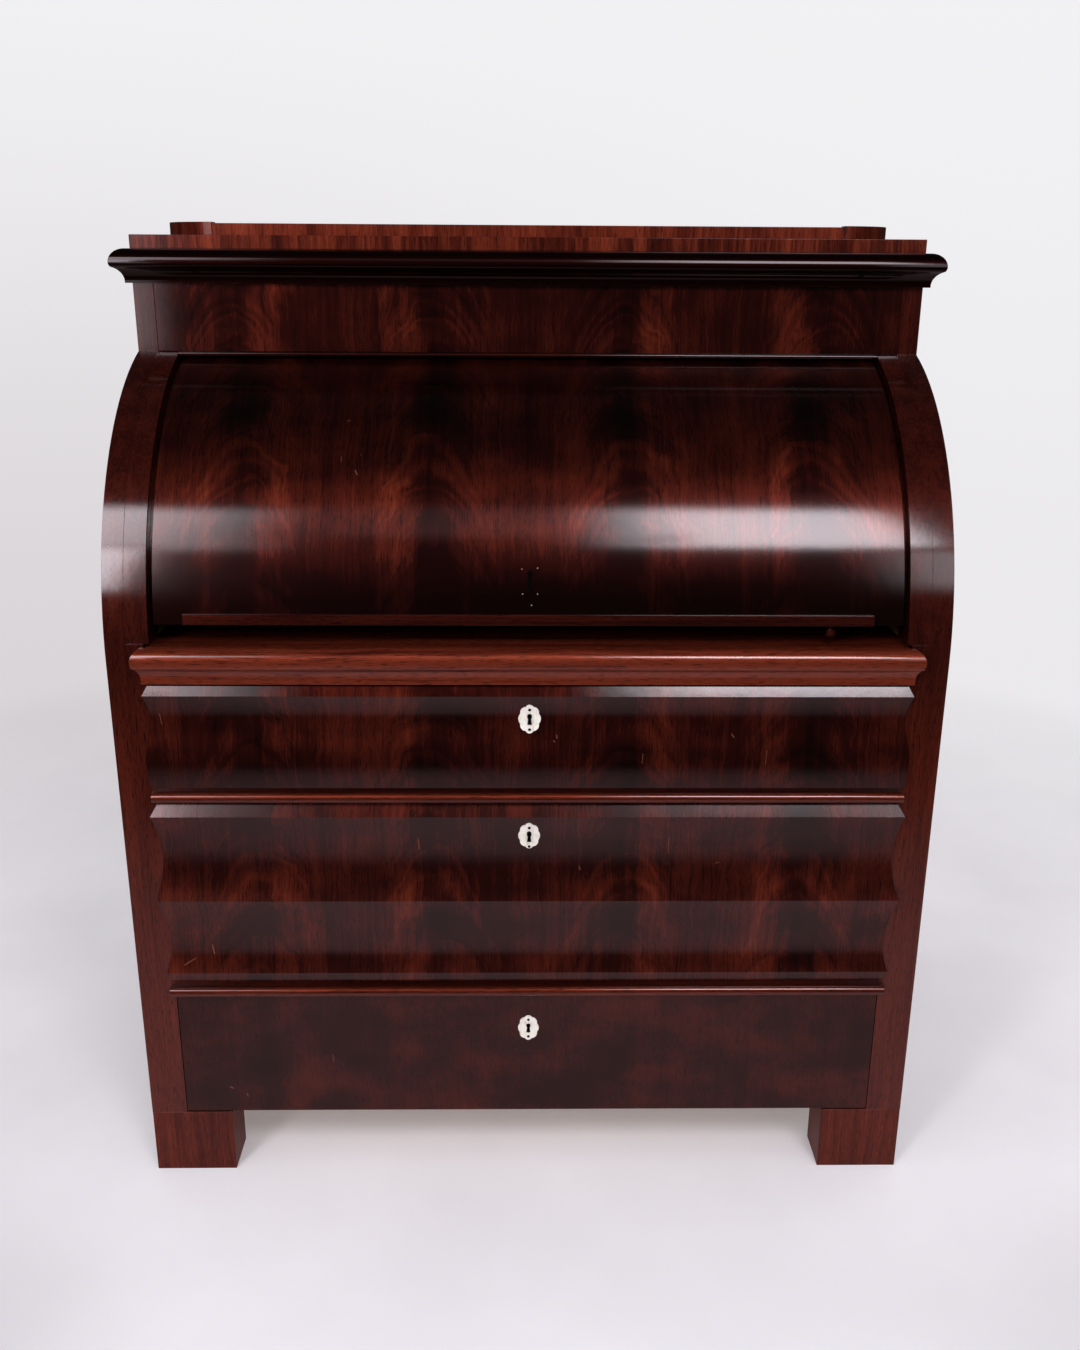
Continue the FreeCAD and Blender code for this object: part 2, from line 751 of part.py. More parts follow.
def nest_knob():
    knob = turned_knob(nest_knob_radius, nest_knob_length)
    knob.rotate(V(0, 0, 0), V(1, 0, 0), -90)
    x = (niche_half_width + nest_partition + nest_half - nest_board) / 2
    knob.translate(V(x, nest_front_y, (nest_floor_z + nest_shelf_z) / 2))
    return knob


# All nodes

def desk():
    nodes = {}
    for name, make in (("side_panel", side_panel), ("stile", stile), ("cylinder_guide", cylinder_guide),
                       ("nest_drawer", nest_drawer), ("nest_knob", nest_knob)):
        right = make()
        nodes[name + "_right"] = right
        nodes[name + "_left"] = mirrored(right)
    nodes["bottom_board"] = box(-inner_half, inner_half, max(stile_depth, front_thickness) + reveal, back_y,
                                foot_height, foot_height + bottom_thickness)
    nodes["back_boards"] = back_boards()
    nodes["top_board"] = box(-case_half_width, case_half_width, frieze_setback, case_depth, top_z, crown_z)
    nodes["foot_front_right"] = foot(case_half_width - foot_width, 0)
    nodes["foot_front_left"] = mirrored(nodes["foot_front_right"])
    nodes["feet_rear"] = pair(foot(case_half_width - foot_width, case_depth - foot_depth))

    for name, z0, thickness in (("upper", upper_divider_z, upper_divider_thickness),
                                ("lower", lower_divider_z, lower_divider_thickness)):
        nodes["divider_rail_" + name] = divider_rail(z0, thickness)
        nodes["divider_bead_" + name] = divider_bead(z0)
    nodes["drawer_runners"] = drawer_runners()
    nodes["drawer_guides"] = drawer_guides()
    nodes["slide_rail"] = box(-opening_half, opening_half, 0, slide_rail_depth, slide_rail_z, bearer_top_z)
    nodes["slide_bearers"] = pair(slide_bearer())

    nodes["frieze_board"] = frieze_board()
    nodes["frieze_bead"] = frieze_bead()
    nodes["cornice_front"], nodes["cornice_returns"] = cornice()
    nodes["crown_front"], nodes["crown_corners"], nodes["crown_sides"] = crown()
    nodes["nest_frame"] = nest_frame()
    nodes["nest_partitions"] = nest_partitions()
    nodes["nest_back"] = nest_back()

    nodes["cylinder_shell"] = cylinder_shell()
    nodes["cylinder_lip"] = cylinder_lip()
    nodes["cylinder_button"] = cylinder_button()
    nodes["cylinder_lock"] = turned_up(lock_case(axis_z, *cylinder_lock_blank()), cylinder_key_angle)
    nodes["slide_board"] = slide_board()
    nodes["slide_nosing"] = slide_nosing()

    drawers = {
        "top": long_drawer(moulded_front(top_front_profile()), top_front_z + top_front_height,
                           upper_divider_z + upper_divider_thickness, top_key_drop),
        "middle": long_drawer(moulded_front(middle_front_profile()), middle_front_z + middle_front_height,
                              lower_divider_z + lower_divider_thickness, middle_key_drop),
        "bottom": long_drawer(flat_front(), bottom_front_z + bottom_front_height,
                              foot_height + bottom_thickness, bottom_key_drop),
    }
    for name, pieces in drawers.items():
        for piece, shape in pieces.items():
            nodes["drawer_" + name + "_" + piece] = shape
    return nodes


os.makedirs("parts", exist_ok=True)
for node, shape in desk().items():
    placed = shape.copy()
    placed.translate(V(0, -origin_y, 0))
    placed.exportStep("parts/" + node + ".step")
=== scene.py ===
import json
import math

import bmesh
import bpy
from mathutils import Matrix, Vector


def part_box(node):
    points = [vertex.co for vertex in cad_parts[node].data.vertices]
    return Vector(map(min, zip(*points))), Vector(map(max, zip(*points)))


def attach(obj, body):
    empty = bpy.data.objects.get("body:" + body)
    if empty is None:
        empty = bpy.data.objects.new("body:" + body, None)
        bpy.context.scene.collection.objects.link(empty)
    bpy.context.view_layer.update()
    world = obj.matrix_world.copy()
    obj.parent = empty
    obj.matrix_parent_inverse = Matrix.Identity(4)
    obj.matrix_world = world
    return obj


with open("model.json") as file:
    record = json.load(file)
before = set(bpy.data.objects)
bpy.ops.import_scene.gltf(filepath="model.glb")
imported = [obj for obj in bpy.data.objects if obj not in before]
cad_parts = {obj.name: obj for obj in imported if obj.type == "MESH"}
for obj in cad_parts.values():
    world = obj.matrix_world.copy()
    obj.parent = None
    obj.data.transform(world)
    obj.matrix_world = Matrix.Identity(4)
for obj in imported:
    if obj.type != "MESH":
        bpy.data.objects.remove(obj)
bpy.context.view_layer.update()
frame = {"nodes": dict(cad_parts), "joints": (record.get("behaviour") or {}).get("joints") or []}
nodes = frame["nodes"]
mm = 0.001

# Places that the looks follow, from the frame
hinge = next(joint for joint in frame["joints"] if joint["name"] == "cylinder_turn")
axis_y, axis_z = hinge["pos_m"][1:]
shell_radius = max(math.hypot(vertex.co.y - axis_y, vertex.co.z - axis_z)
                   for vertex in nodes["cylinder_shell"].data.vertices)
case_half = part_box("side_panel_right")[1].x
boards_low, boards_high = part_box("back_boards")
back_board_count = 5
back_board_pitch = (boards_high.x - boards_low.x) / back_board_count
drawers = ("drawer_top", "drawer_middle", "drawer_bottom")

# Camera, found from the lines of the desk in the photograph
image_height = 1350
focal_pixels = 1273.7
sensor = 36.0
camera_place = Vector((-0.0117, -1.7805, 1.1960))
camera_pitch = math.radians(18.05)
camera_yaw = math.radians(0.943)
camera_roll = math.radians(-0.369)

# Soft panels in front of the desk
panel_distance = -2.812
sheen_distance = -0.90
panel_colour = (1.0, 0.95, 1.02, 1)

# Pale floor that fades into the surround, with painted shade to the left of the desk and in front of its
# corners
floor_reach = 4.0
floor_fade = (1.1, 2.3)
floor_front = (-0.70, -1.90)
floor_smudge = 0.35
floor_low = (0.80, 0.79, 0.81, 1)
floor_high = (0.86, 0.85, 0.87, 1)
floor_mean = (floor_low[0] + floor_high[0]) / 2
# Painted reflection: in what the polish reflects, the floor is dimmer and redder
painted_floor_reflection_tint = (0.62, 0.46, 0.46, 1)
# Painted light: the floor glows a little of its own
floor_glow = 0.12
left_shade = 0.14
left_shade_across = (-0.35, -0.85)
corner_shade = 0.16
corner_shade_across = (0.25, 0.75)
corner_shade_forward = (-0.30, -0.62)
black = (0.0, 0.0, 0.0, 1)

# Pale surround with painted shade, darker to the left and lower down, and the dim room that the polish
# reflects
surround_left = (0.70, 0.665, 0.690, 1)
surround_right = (0.83, 0.815, 0.840, 1)
surround_high = (0.89, 0.885, 0.900, 1)
surround_across = (-0.35, 0.35)
surround_rise = (-0.30, 0.25)
room_fill = (0.65, 0.635, 0.655, 1)
room_gloss = (0.020, 0.019, 0.020, 1)

# Mahogany, from the dark of the figure to its light
dark = (0.0090, 0.0013, 0.0010, 1)
brown = (0.0300, 0.0042, 0.0026, 1)
red = (0.0780, 0.0112, 0.0056, 1)
flame = (0.2000, 0.0335, 0.0145, 1)
worn = (0.4500, 0.1900, 0.1000, 1)
veneer_tone = 0.47
plain_tone = 0.48
plume_curve = 22.0
pore_limits = (0.46, 0.34)
# Painted shade: the heights between which the upper part of the sides' front and inner faces darkens
side_shade_rise = (0.55, 0.80)
edge_lean = (0.98, 0.75)
scratch_strength = 0.45
scratch_core = 0.3
patch_blur = 0.3
polish_index = 1.5

# Other colours
pine_pale = (0.42, 0.255, 0.122, 1)
pine_tan = (0.27, 0.143, 0.062, 1)
pine_dark = (0.14, 0.064, 0.027, 1)
bone_stain = (0.50, 0.45, 0.36, 1)
bone_cream = (0.74, 0.70, 0.62, 1)
bone_white = (0.86, 0.83, 0.78, 1)
iron_grey = (0.11, 0.105, 0.10, 1)
iron_rust = (0.13, 0.065, 0.035, 1)
# Painted shade of the keyholes, which is also the pins' own black, and specks of dust in the keyholes
hole_shade_and_pin_black = (0.0012, 0.0010, 0.0010, 1)
hole_dust = (0.0040, 0.0028, 0.0024, 1)

# Noise is flat at whole numbers, so a coordinate that stays the same keeps off them
off_whole = 0.37
aged_spot = (0.41, 0.73)

# How far each pine board lies from the next in the noise
board_step = 7.3

# Rounds on the edges, smaller on pieces that fit closely; boards that share edges stay sharp
edge_round = 0.8 * mm
close_round = 0.3 * mm
close_fits = ("escutcheon", "stile", "side_panel", "cylinder_guide")
sharp_nodes = ("nest_frame", "nest_drawer_left", "nest_drawer_right")

# Keyholes, pins and nails, in millimetres; the neck of a keyhole is an angle, in degrees
keyhole_neck = 38
keyhole_steps = 20
plate_pins = (("upper", 12.4), ("lower", -13.2))
plate_keyhole_rise = 3.2
cylinder_keyhole_height = 829
cylinder_keyhole_rise = 9.0
nail_spots = ((-9.5, 14.5), (9.2, 15.5), (-8.5, -15.5), (9.2, -15.5), (2, -29))
nail_rub = 2.6

# Scratches, from one point to another, with their width, in millimetres
cylinder_scratches = (((-226, 1005), (-223, 1005), 0.8), ((-230, 966), (-230, 961), 0.7),
                      ((-206, 969), (-206, 968), 0.7), ((-212, 951), (-210, 947), 1.2))
top_scratches = (((-451, 668), (-449, 654), 0.6), ((33, 641), (34, 637), 0.9), ((30, 634), (31, 632), 0.8),
                 ((249, 642), (252, 638), 0.8), ((140, 618), (139, 606), 0.5), ((293, 622), (292, 604), 0.5))
middle_scratches = (((-447, 322), (-432, 331), 0.9), ((-410, 349), (-408, 337), 1.0),
                    ((-140, 500), (-139, 486), 0.6), ((177, 503), (177, 480), 0.45),
                    ((64, 462), (65, 457), 0.8), ((238, 466), (242, 467), 0.8))
bottom_scratches = (((-402, 132), (-398, 130), 1.0), ((-380, 121), (-379, 117), 0.9),
                    ((-262, 182), (-261, 170), 0.5))

# Let-in pieces of wood: left, right, low and high edge in millimetres, and how much paler they are
chamfer_patches = ((-139, -95, 534, 552, 0.06), (-28, 2, 534, 552, 0.08))
nosing_patches = ((-480, -195, 700, 713, 0.10),)


class Graph:
    """Short forms for building the nodes of one material or world."""

    def __init__(self, tree):
        self.tree = tree

    def feed(self, socket, value):
        if isinstance(value, bpy.types.NodeSocket):
            self.tree.links.new(value, socket)
        else:
            socket.default_value = value

    def node(self, kind, inputs=(), **settings):
        made = self.tree.nodes.new(kind)
        for name, value in settings.items():
            setattr(made, name, value)
        for key, value in dict(inputs).items():
            self.feed(made.inputs[key], value)
        return made

    def math(self, operation, *values):
        made = self.node("ShaderNodeMath", operation=operation)
        for socket, value in zip(made.inputs, values):
            self.feed(socket, value)
        return made.outputs[0]

    def sum(self, *values):
        total = values[0]
        for value in values[1:]:
            total = self.math("ADD", total, value)
        return total

    def times(self, *values):
        product = values[0]
        for value in values[1:]:
            product = self.math("MULTIPLY", product, value)
        return product

    def less(self, value, other):
        return self.math("SUBTRACT", value, other)

    def over(self, value, size):
        return self.math("DIVIDE", value, size)

    def step(self, value, low, high):
        """Smooth step from 0 at low to 1 at high."""
        inputs = {"Value": value, "From Min": low, "From Max": high}
        return self.node("ShaderNodeMapRange", inputs, interpolation_type="SMOOTHSTEP").outputs[0]

    def mix(self, share, first, second, blend="MIX"):
        """Mix of two colours, whose sockets on a Mix node are 6 and 7, with the result at 2."""
        made = self.node("ShaderNodeMix", data_type="RGBA", blend_type=blend)
        for index, value in ((0, share), (6, first), (7, second)):
            self.feed(made.inputs[index], value)
        return made.outputs[2]

    def ramp(self, share, *stops):
        made = self.node("ShaderNodeValToRGB", {"Fac": share})
        elements = made.color_ramp.elements
        while len(elements) < len(stops):
            elements.new(1.0)
        for element, (place, colour) in zip(elements, stops):
            element.position = place
            element.color = colour
        return made.outputs[0]

    def vector(self, x, y, z):
        return self.node("ShaderNodeCombineXYZ", {"X": x, "Y": y, "Z": z}).outputs[0]

    def parts(self, vector):
        return self.node("ShaderNodeSeparateXYZ", {"Vector": vector}).outputs[:]

    def place(self):
        """Object coordinates, in metres in the desk's frame."""
        return self.parts(self.node("ShaderNodeTexCoord").outputs["Object"])

    def noise(self, x, y, z, detail=2.0):
        inputs = {"Vector": self.vector(x, y, z), "Scale": 1.0, "Detail": detail}
        return self.node("ShaderNodeTexNoise", inputs).outputs[0]

    def speckle(self, size, detail=2.0):
        """Noise of one size in all directions."""
        return self.noise(*(self.over(value, size) for value in self.place()), detail)

    def bump(self, height, distance):
        inputs = {"Height": height, "Distance": distance, "Strength": 1.0}
        return self.node("ShaderNodeBump", inputs).outputs[0]

    def stroke(self, x, z, start, end, width):
        """Thin line between two points, in millimetres, on an upright face."""
        (from_x, from_z), (to_x, to_z) = ([value * mm for value in point] for point in (start, end))
        run, rise = to_x - from_x, to_z - from_z
        share = 1 / (run ** 2 + rise ** 2)
        beside = self.less(x, from_x)
        above = self.less(z, from_z)
        part = self.sum(self.times(beside, run * share), self.times(above, rise * share))
        part = self.math("MINIMUM", self.math("MAXIMUM", part, 0.0), 1.0)
        beside = self.less(beside, self.times(part, run))
        above = self.less(above, self.times(part, rise))
        distance = self.math("SQRT", self.sum(self.times(beside, beside), self.times(above, above)))
        return self.step(distance, width * mm, scratch_core * width * mm)

    def edges(self, radius):
        """Nearness to a sharp edge, from 0 to 1, by how far a rounded normal leans from the flat one."""
        rounded = self.node("ShaderNodeBevel", {"Radius": radius}, samples=4).outputs[0]
        flat = self.node("ShaderNodeNewGeometry").outputs["Normal"]
        lean = self.node("ShaderNodeVectorMath", {0: rounded, 1: flat}, operation="DOT_PRODUCT")
        return self.step(lean.outputs["Value"], *edge_lean)


def emptied(owner):
    """Node graph of a new material or world, with nothing in it yet."""
    owner.use_nodes = True
    owner.node_tree.nodes.clear()
    return Graph(owner.node_tree)


def material(name):
    made = bpy.data.materials.new(name)
    graph = emptied(made)
    shader = graph.node("ShaderNodeBsdfPrincipled")
    graph.node("ShaderNodeOutputMaterial", {"Surface": shader.outputs[0]})
    return made, graph, shader


def dress(shader, **inputs):
    """Values and links on the shader's own sockets."""
    graph = Graph(shader.id_data)
    for name, value in inputs.items():
        graph.feed(shader.inputs[name.replace("_", " ")], value)


# Wood

def french_polish(graph, shader, colour, pores, coat_roughness, gloss=0.40, sheen=0.8, coat=1.0):
    """Clear hard polish over wood whose fibres glow near the highlights."""
    cloth = graph.speckle(16 * mm)
    dress(shader, Base_Color=colour, Roughness=graph.sum(gloss, graph.times(pores, 0.10)), Metallic=sheen,
          Specular_IOR_Level=0.0, Coat_Weight=coat, Coat_Roughness=coat_roughness, Coat_IOR=polish_index,
          Normal=graph.bump(pores, 0.02 * mm), Coat_Normal=graph.bump(cloth, 0.035 * mm))


def pored(graph, colour, pores, depth):
    """Colour with the dark of open pores."""
    return graph.mix(graph.times(graph.step(pores, *pore_limits), depth), colour, dark)


def patched(graph, tone, x, z, patches):
    """Tone with let-in pieces of other wood, on an upright face."""
    for left, right, low, high, shift in patches:
        sides = ((x, left, -patch_blur), (x, right, patch_blur), (z, low, -patch_blur), (z, high, patch_blur))
        inside = (graph.step(value, (limit + blur) * mm, limit * mm) for value, limit, blur in sides)
        tone = graph.sum(tone, graph.times(*inside, shift))
    return tone


def figured_veneer(name, leaf, seed, level=0.0, arc=False, light=0.0, contrast=1.0, plume=1.0, cloud=1.0,
                   streaks=1.0, shade=0.0, marks=(), patches=(), **polish):
    """Book-matched leaves of crotch figure: feathered plumes round a dark core, upright streaks between."""
    made, graph, shader = material(name)
    x, y, z = graph.place()
    along = graph.less(z, level)
    if arc:
        angle = graph.math("ARCTAN2", graph.less(z, axis_z), graph.less(axis_y, y))
        along = graph.times(angle, shell_radius)

    def layer(across, width, length, shift, weight=1.0, detail=2.0):
        """Noise about zero, drawn out along the grain."""
        spot = graph.over(across, width), graph.over(along, length), seed + shift + off_whole
        return graph.times(graph.less(graph.noise(*spot, detail), 0.5), weight)

    # Where a point lies in its leaf, with the lines of the figure bent a little
    stray = layer(x, width=45 * mm, length=50 * mm, shift=0, detail=3.0)
    wander = layer(0.0, width=1.0, length=150 * mm, shift=1, weight=60 * mm)
    folded = graph.math("PINGPONG", x, leaf)
    offset = graph.sum(folded, -0.5 * leaf, wander, graph.times(stray, 30 * mm))
    away = graph.math("ABSOLUTE", offset)
    arch = graph.sum(along, graph.times(offset, offset, plume_curve), graph.times(stray, 60 * mm))
    fan = graph.sum(x, graph.times(stray, 14 * mm))
    near = graph.step(away, 105 * mm, 20 * mm)

    # Layers of the figure
    feather = layer(arch, width=18 * mm, length=200 * mm, shift=3, weight=0.52 * plume, detail=3.0)
    band = layer(arch, width=55 * mm, length=250 * mm, shift=7, weight=0.50 * plume)
    pillar = layer(fan, width=45 * mm, length=500 * mm, shift=19, weight=0.24)
    streak = layer(fan, width=9 * mm, length=300 * mm, shift=9, weight=0.24 * streaks)
    fibre = layer(fan, width=2 * mm, length=100 * mm, shift=11, weight=0.24 * streaks)
    patch = layer(x, width=90 * mm, length=60 * mm, shift=17, weight=0.45 * cloud, detail=3.0)
    core = graph.times(graph.step(away, 34 * mm, 4 * mm), -0.12 * plume)
    wing = graph.times(graph.step(offset, 8 * mm, 34 * mm), graph.step(offset, 85 * mm, 45 * mm),
                       0.10 * plume)
    # Painted shade: the wood darkens below a height along the grain, on the cylinder towards its lower edge
    painted_low_shade = graph.times(graph.step(along, 165 * mm, 75 * mm), -shade)
    figure = graph.sum(graph.times(feather, near), graph.times(band, near), pillar, streak, fibre, patch,
                       core, wing)

    tone = graph.sum(graph.times(figure, contrast), painted_low_shade, veneer_tone + light)
    tone = patched(graph, tone, x, z, patches)
    colour = graph.ramp(tone, (0.20, dark), (0.44, brown), (0.64, red), (0.98, flame))
    pores = graph.noise(graph.over(x, 0.8 * mm), graph.over(along, 12 * mm), seed + 13 + off_whole)
    colour = pored(graph, colour, pores, 0.6)
    for mark in marks:
        colour = graph.mix(graph.times(graph.stroke(x, z, *mark), scratch_strength), colour, worn)
    french_polish(graph, shader, colour, pores, **polish)
    return made


def grain_axes(place, grain):
    """The coordinate along the grain and the two across it."""
    along = place["xyz".index(grain)]
    first, second = (place["xyz".index(other)] for other in "xyz" if other != grain)
    return along, first, second


def straight_mahogany(name, grain, seed, light=0.0, wear=0.0, depth=1.0, shade=0.0, patches=(), **polish):
    """Plain mahogany with its grain along one axis, worn pale on its edges.

    Cross-banded wood has its grain upright on the front and from front to back on top. A painted shade
    darkens the upper part of the sides' front and inner faces.
    """
    made, graph, shader = material(name)
    place = graph.place()
    x, y, z = place
    if grain == "cross":
        place = x, graph.less(y, z), 0.0
        grain = "y"
    along, first, second = grain_axes(place, grain)
    sway = graph.noise(graph.over(along, 220 * mm), graph.over(first, 60 * mm), graph.over(second, 60 * mm))
    first = graph.sum(first, graph.times(sway, 16 * mm))
    second = graph.sum(second, graph.times(sway, 12 * mm))

    def stripes(width, length, shift, detail=2.0):
        return graph.noise(graph.over(along, length), graph.sum(graph.over(first, width), seed + shift),
                           graph.over(second, width), detail)

    bands = stripes(width=18 * mm, length=350 * mm, shift=0, detail=3.0)
    lines = stripes(width=3.5 * mm, length=200 * mm, shift=5, detail=3.0)
    pores = stripes(width=0.9 * mm, length=15 * mm, shift=9)
    figure = graph.sum(graph.times(bands, 0.45), graph.times(lines, 0.35), -0.40)
    inward = graph.step(graph.math("ABSOLUTE", x), case_half - 0.3 * mm, case_half - 1.0 * mm)
    # Painted shade on the upper part of the front and inner faces
    above = graph.times(graph.step(z, *side_shade_rise), inward, -shade)
    tone = graph.sum(graph.times(figure, depth), above, plain_tone + light)
    tone = patched(graph, tone, x, z, patches)
    colour = graph.ramp(tone, (0.22, dark), (0.44, brown), (0.62, red), (0.88, flame))
    colour = pored(graph, colour, pores, 0.7)
    if wear:
        chips = graph.step(graph.speckle(9 * mm, 3.0), 0.42, 0.62)
        colour = graph.mix(graph.times(graph.edges(1.2 * mm), chips, wear), colour, worn)
    french_polish(graph, shader, colour, pores, **polish)
    return made


def pine(name, grain, seed, edge=0.0, pitch=10.0):
    """Bare aged softwood for the parts inside and behind.

    Boards lie side by side from an edge, one pitch wide, and each has its own rings and tone.
    """
    made, graph, shader = material(name)
    along, first, second = grain_axes(graph.place(), grain)
    board = graph.math("FLOOR", graph.over(graph.less(first, edge), pitch))
    own = graph.sum(graph.times(board, board_step), seed)
    sway = graph.noise(graph.sum(graph.over(along, 600 * mm), own), graph.over(first, 90 * mm),
                       graph.over(second, 90 * mm), 1.0)
    spread = graph.noise(graph.sum(graph.over(first, 50 * mm), own), graph.over(second, 50 * mm),
                         off_whole, 1.0)
    ring = graph.sum(graph.over(first, 13 * mm), graph.over(second, 16 * mm), graph.times(sway, 5.0),
                     graph.times(spread, 4.0), own)
    late = graph.math("POWER", graph.math("FRACT", ring), 3.0)
    fibre = graph.noise(graph.over(along, 60 * mm), graph.over(first, 1.2 * mm),
                        graph.over(second, 1.2 * mm), 3.0)
    grime = graph.speckle(120 * mm, 3.0)
    aged = graph.noise(own, *aged_spot, 0.0)
    tone = graph.sum(graph.times(late, 0.32), graph.times(fibre, 0.35), graph.times(grime, 0.40),
                     graph.times(aged, 0.40), -0.20)
    colour = graph.ramp(tone, (0.22, pine_pale), (0.55, pine_tan), (0.90, pine_dark))
    dress(shader, Base_Color=colour, Roughness=graph.sum(0.55, graph.times(fibre, 0.25)),
          Normal=graph.bump(tone, 0.10 * mm))
    return made


# Bone and iron

def bone(name):
    """Polished bone with fine streaks, browned in places."""
    made, graph, shader = material(name)
    x, y, z = graph.place()
    streak = graph.noise(graph.over(x, 0.8 * mm), graph.over(y, 4 * mm), graph.over(z, 7 * mm), 3.0)
    cloud = graph.speckle(9 * mm)
    tone = graph.sum(graph.times(streak, 0.5), graph.times(cloud, 0.5))
    colour = graph.ramp(tone, (0.30, bone_stain), (0.46, bone_cream), (0.70, bone_white))
    dress(shader, Base_Color=colour, Roughness=graph.sum(0.28, graph.times(streak, 0.15)),
          Normal=graph.bump(streak, 0.04 * mm))
    return made


def hole_shade_and_pin_dark(name):
    """Painted shade for the inside of a keyhole, and the blackened pins beside it."""
    made, graph, shader = material(name)
    dust = graph.speckle(2 * mm, 3.0)
    colour = graph.ramp(dust, (0.40, hole_shade_and_pin_black), (0.75, hole_dust))
    dress(shader, Base_Color=colour, Roughness=graph.sum(0.7, graph.times(dust, 0.2)), Specular_IOR_Level=0.0)
    return made


def iron(name, rubbed=1.0):
    """Dark iron with a little rust, paler where it is rubbed."""
    made, graph, shader = material(name)
    rust = graph.speckle(6 * mm, 4.0)
    grit = graph.speckle(0.7 * mm)
    colour = graph.ramp(rust, (0.45, iron_grey), (0.72, iron_rust))
    colour = graph.mix(1.0, colour, (rubbed, rubbed, rubbed, 1), "MULTIPLY")
    dress(shader, Base_Color=colour, Roughness=graph.sum(0.38, graph.times(rust, 0.35)), Metallic=0.9,
          Normal=graph.bump(grit, 0.08 * mm))
    return made


# Shapes

def soften(name, width):
    """Small rounds on the sharp edges of a node, as sanded and polished wood has."""
    piece = nodes[name]
    weld = piece.modifiers.new("weld", "WELD")
    weld.merge_threshold = 0.005 * mm
    flat = piece.modifiers.new("flat", "DECIMATE")
    flat.decimate_type = "DISSOLVE"
    flat.angle_limit = math.radians(0.05)
    bevel = piece.modifiers.new("round", "BEVEL")
    bevel.width = width
    bevel.segments = 2
    bevel.limit_method = "ANGLE"
    bevel.angle_limit = math.radians(32)
    bevel.use_clamp_overlap = True
    bevel.face_strength_mode = "FSTR_ALL"
    shading = piece.modifiers.new("shading", "WEIGHTED_NORMAL")
    shading.use_face_influence = True


def paint(finish, *names):
    for name in names:
        piece = nodes[name]
        piece.data.materials.clear()
        piece.data.materials.append(finish)


def on_drawers(*parts):
    """Names of these parts of the three long drawers."""
    return [drawer + "_" + part for part in parts for drawer in drawers]


def seated(name, mesh, across, up, spot, finish, body):
    """Small piece on a surface: its own x runs across, its y up and its z out of the wood."""
    out = across.cross(up)
    mesh.transform(Matrix.Translation(spot) @ Matrix((across, up, out)).transposed().to_4x4())
    mesh.materials.append(finish)
    piece = bpy.data.objects.new(name, mesh)
    bpy.context.scene.collection.objects.link(piece)
    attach(piece, body)


def mesh_from(name, shape):
    mesh = bpy.data.meshes.new(name)
    shape.to_mesh(mesh)
    shape.free()
    return mesh


def pin_mesh(name, radius, height):
    """Low round head, half in the wood."""
    shape = bmesh.new()
    bmesh.ops.create_uvsphere(shape, u_segments=16, v_segments=8, radius=radius)
    bmesh.ops.scale(shape, vec=(1, 1, height / radius), verts=shape.verts)
    mesh = mesh_from(name, shape)
    mesh.shade_smooth()
    return mesh


def keyhole_mesh(name, radius, foot_half, drop, thickness):
    """Thin dark sheet that carries a keyhole's painted shade: a round eye over a slot that widens to its
    foot.
    """
    neck = math.radians(keyhole_neck)
    sweep = 2 * math.pi - 2 * neck
    turns = [math.radians(-90) + neck + step / keyhole_steps * sweep for step in range(keyhole_steps + 1)]
    outline = [(radius * math.cos(turn), radius * math.sin(turn)) for turn in turns]
    outline += [(-foot_half, -drop), (foot_half, -drop)]
    shape = bmesh.new()
    face = shape.faces.new([shape.verts.new((*point, 0.0)) for point in outline])
    grown = bmesh.ops.extrude_face_region(shape, geom=[face])["geom"]
    moved = [item for item in grown if isinstance(item, bmesh.types.BMVert)]
    bmesh.ops.translate(shape, vec=(0, 0, thickness), verts=moved)
    bmesh.ops.recalc_face_normals(shape, faces=shape.faces)
    return mesh_from(name, shape)


def build_escutcheon_details(drawer, finish):
    """Two pins, and a thin sheet of painted shade for the keyhole, on a drawer's bone plate."""
    low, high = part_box(drawer + "_escutcheon")
    middle = Vector(((low.x + high.x) / 2, low.y, (low.z + high.z) / 2))
    across, up = Vector((1, 0, 0)), Vector((0, 0, 1))
    for name, rise in plate_pins:
        label = drawer + "_pin_" + name
        pin = pin_mesh(label, radius=1.8 * mm, height=0.5 * mm)
        seated(label, pin, across, up, middle + rise * mm * up, finish, drawer)
    label = drawer + "_keyhole"
    hole = keyhole_mesh(label, radius=2.9 * mm, foot_half=2.7 * mm, drop=10.0 * mm, thickness=0.12 * mm)
    seated(label, hole, across, up, middle + plate_keyhole_rise * mm * up, finish, drawer)


def build_cylinder_details(nail_finish, hole_shade_finish):
    """Thin sheet of painted shade for the keyhole in the cylinder's veneer, with the nails that held its lost
    plate.
    """
    turn = math.asin((cylinder_keyhole_height * mm - axis_z) / shell_radius)
    across, out = Vector((1, 0, 0)), Vector((0, -math.cos(turn), math.sin(turn)))
    up = out.cross(across)
    middle = Vector((0, axis_y, axis_z)) + shell_radius * out
    label = "cylinder_keyhole"
    hole = keyhole_mesh(label, radius=3.4 * mm, foot_half=2.6 * mm, drop=18.0 * mm, thickness=0.15 * mm)
    seated(label, hole, across, up, middle + cylinder_keyhole_rise * mm * up, hole_shade_finish, "cylinder")
    for index, (aside, rise) in enumerate(nail_spots):
        label = "cylinder_nail_" + str(index)
        nail = pin_mesh(label, radius=1.0 * mm, height=0.3 * mm)
        spot = middle + aside * mm * across + rise * mm * up
        seated(label, nail, across, up, spot, nail_finish, "cylinder")


# Studio

def stage_plane(name, corners, finish):
    mesh = bpy.data.meshes.new(name)
    mesh.from_pydata(corners, [], [tuple(range(len(corners)))])
    mesh.materials.append(finish)
    piece = bpy.data.objects.new(name, mesh)
    bpy.context.scene.collection.objects.link(piece)
    return piece


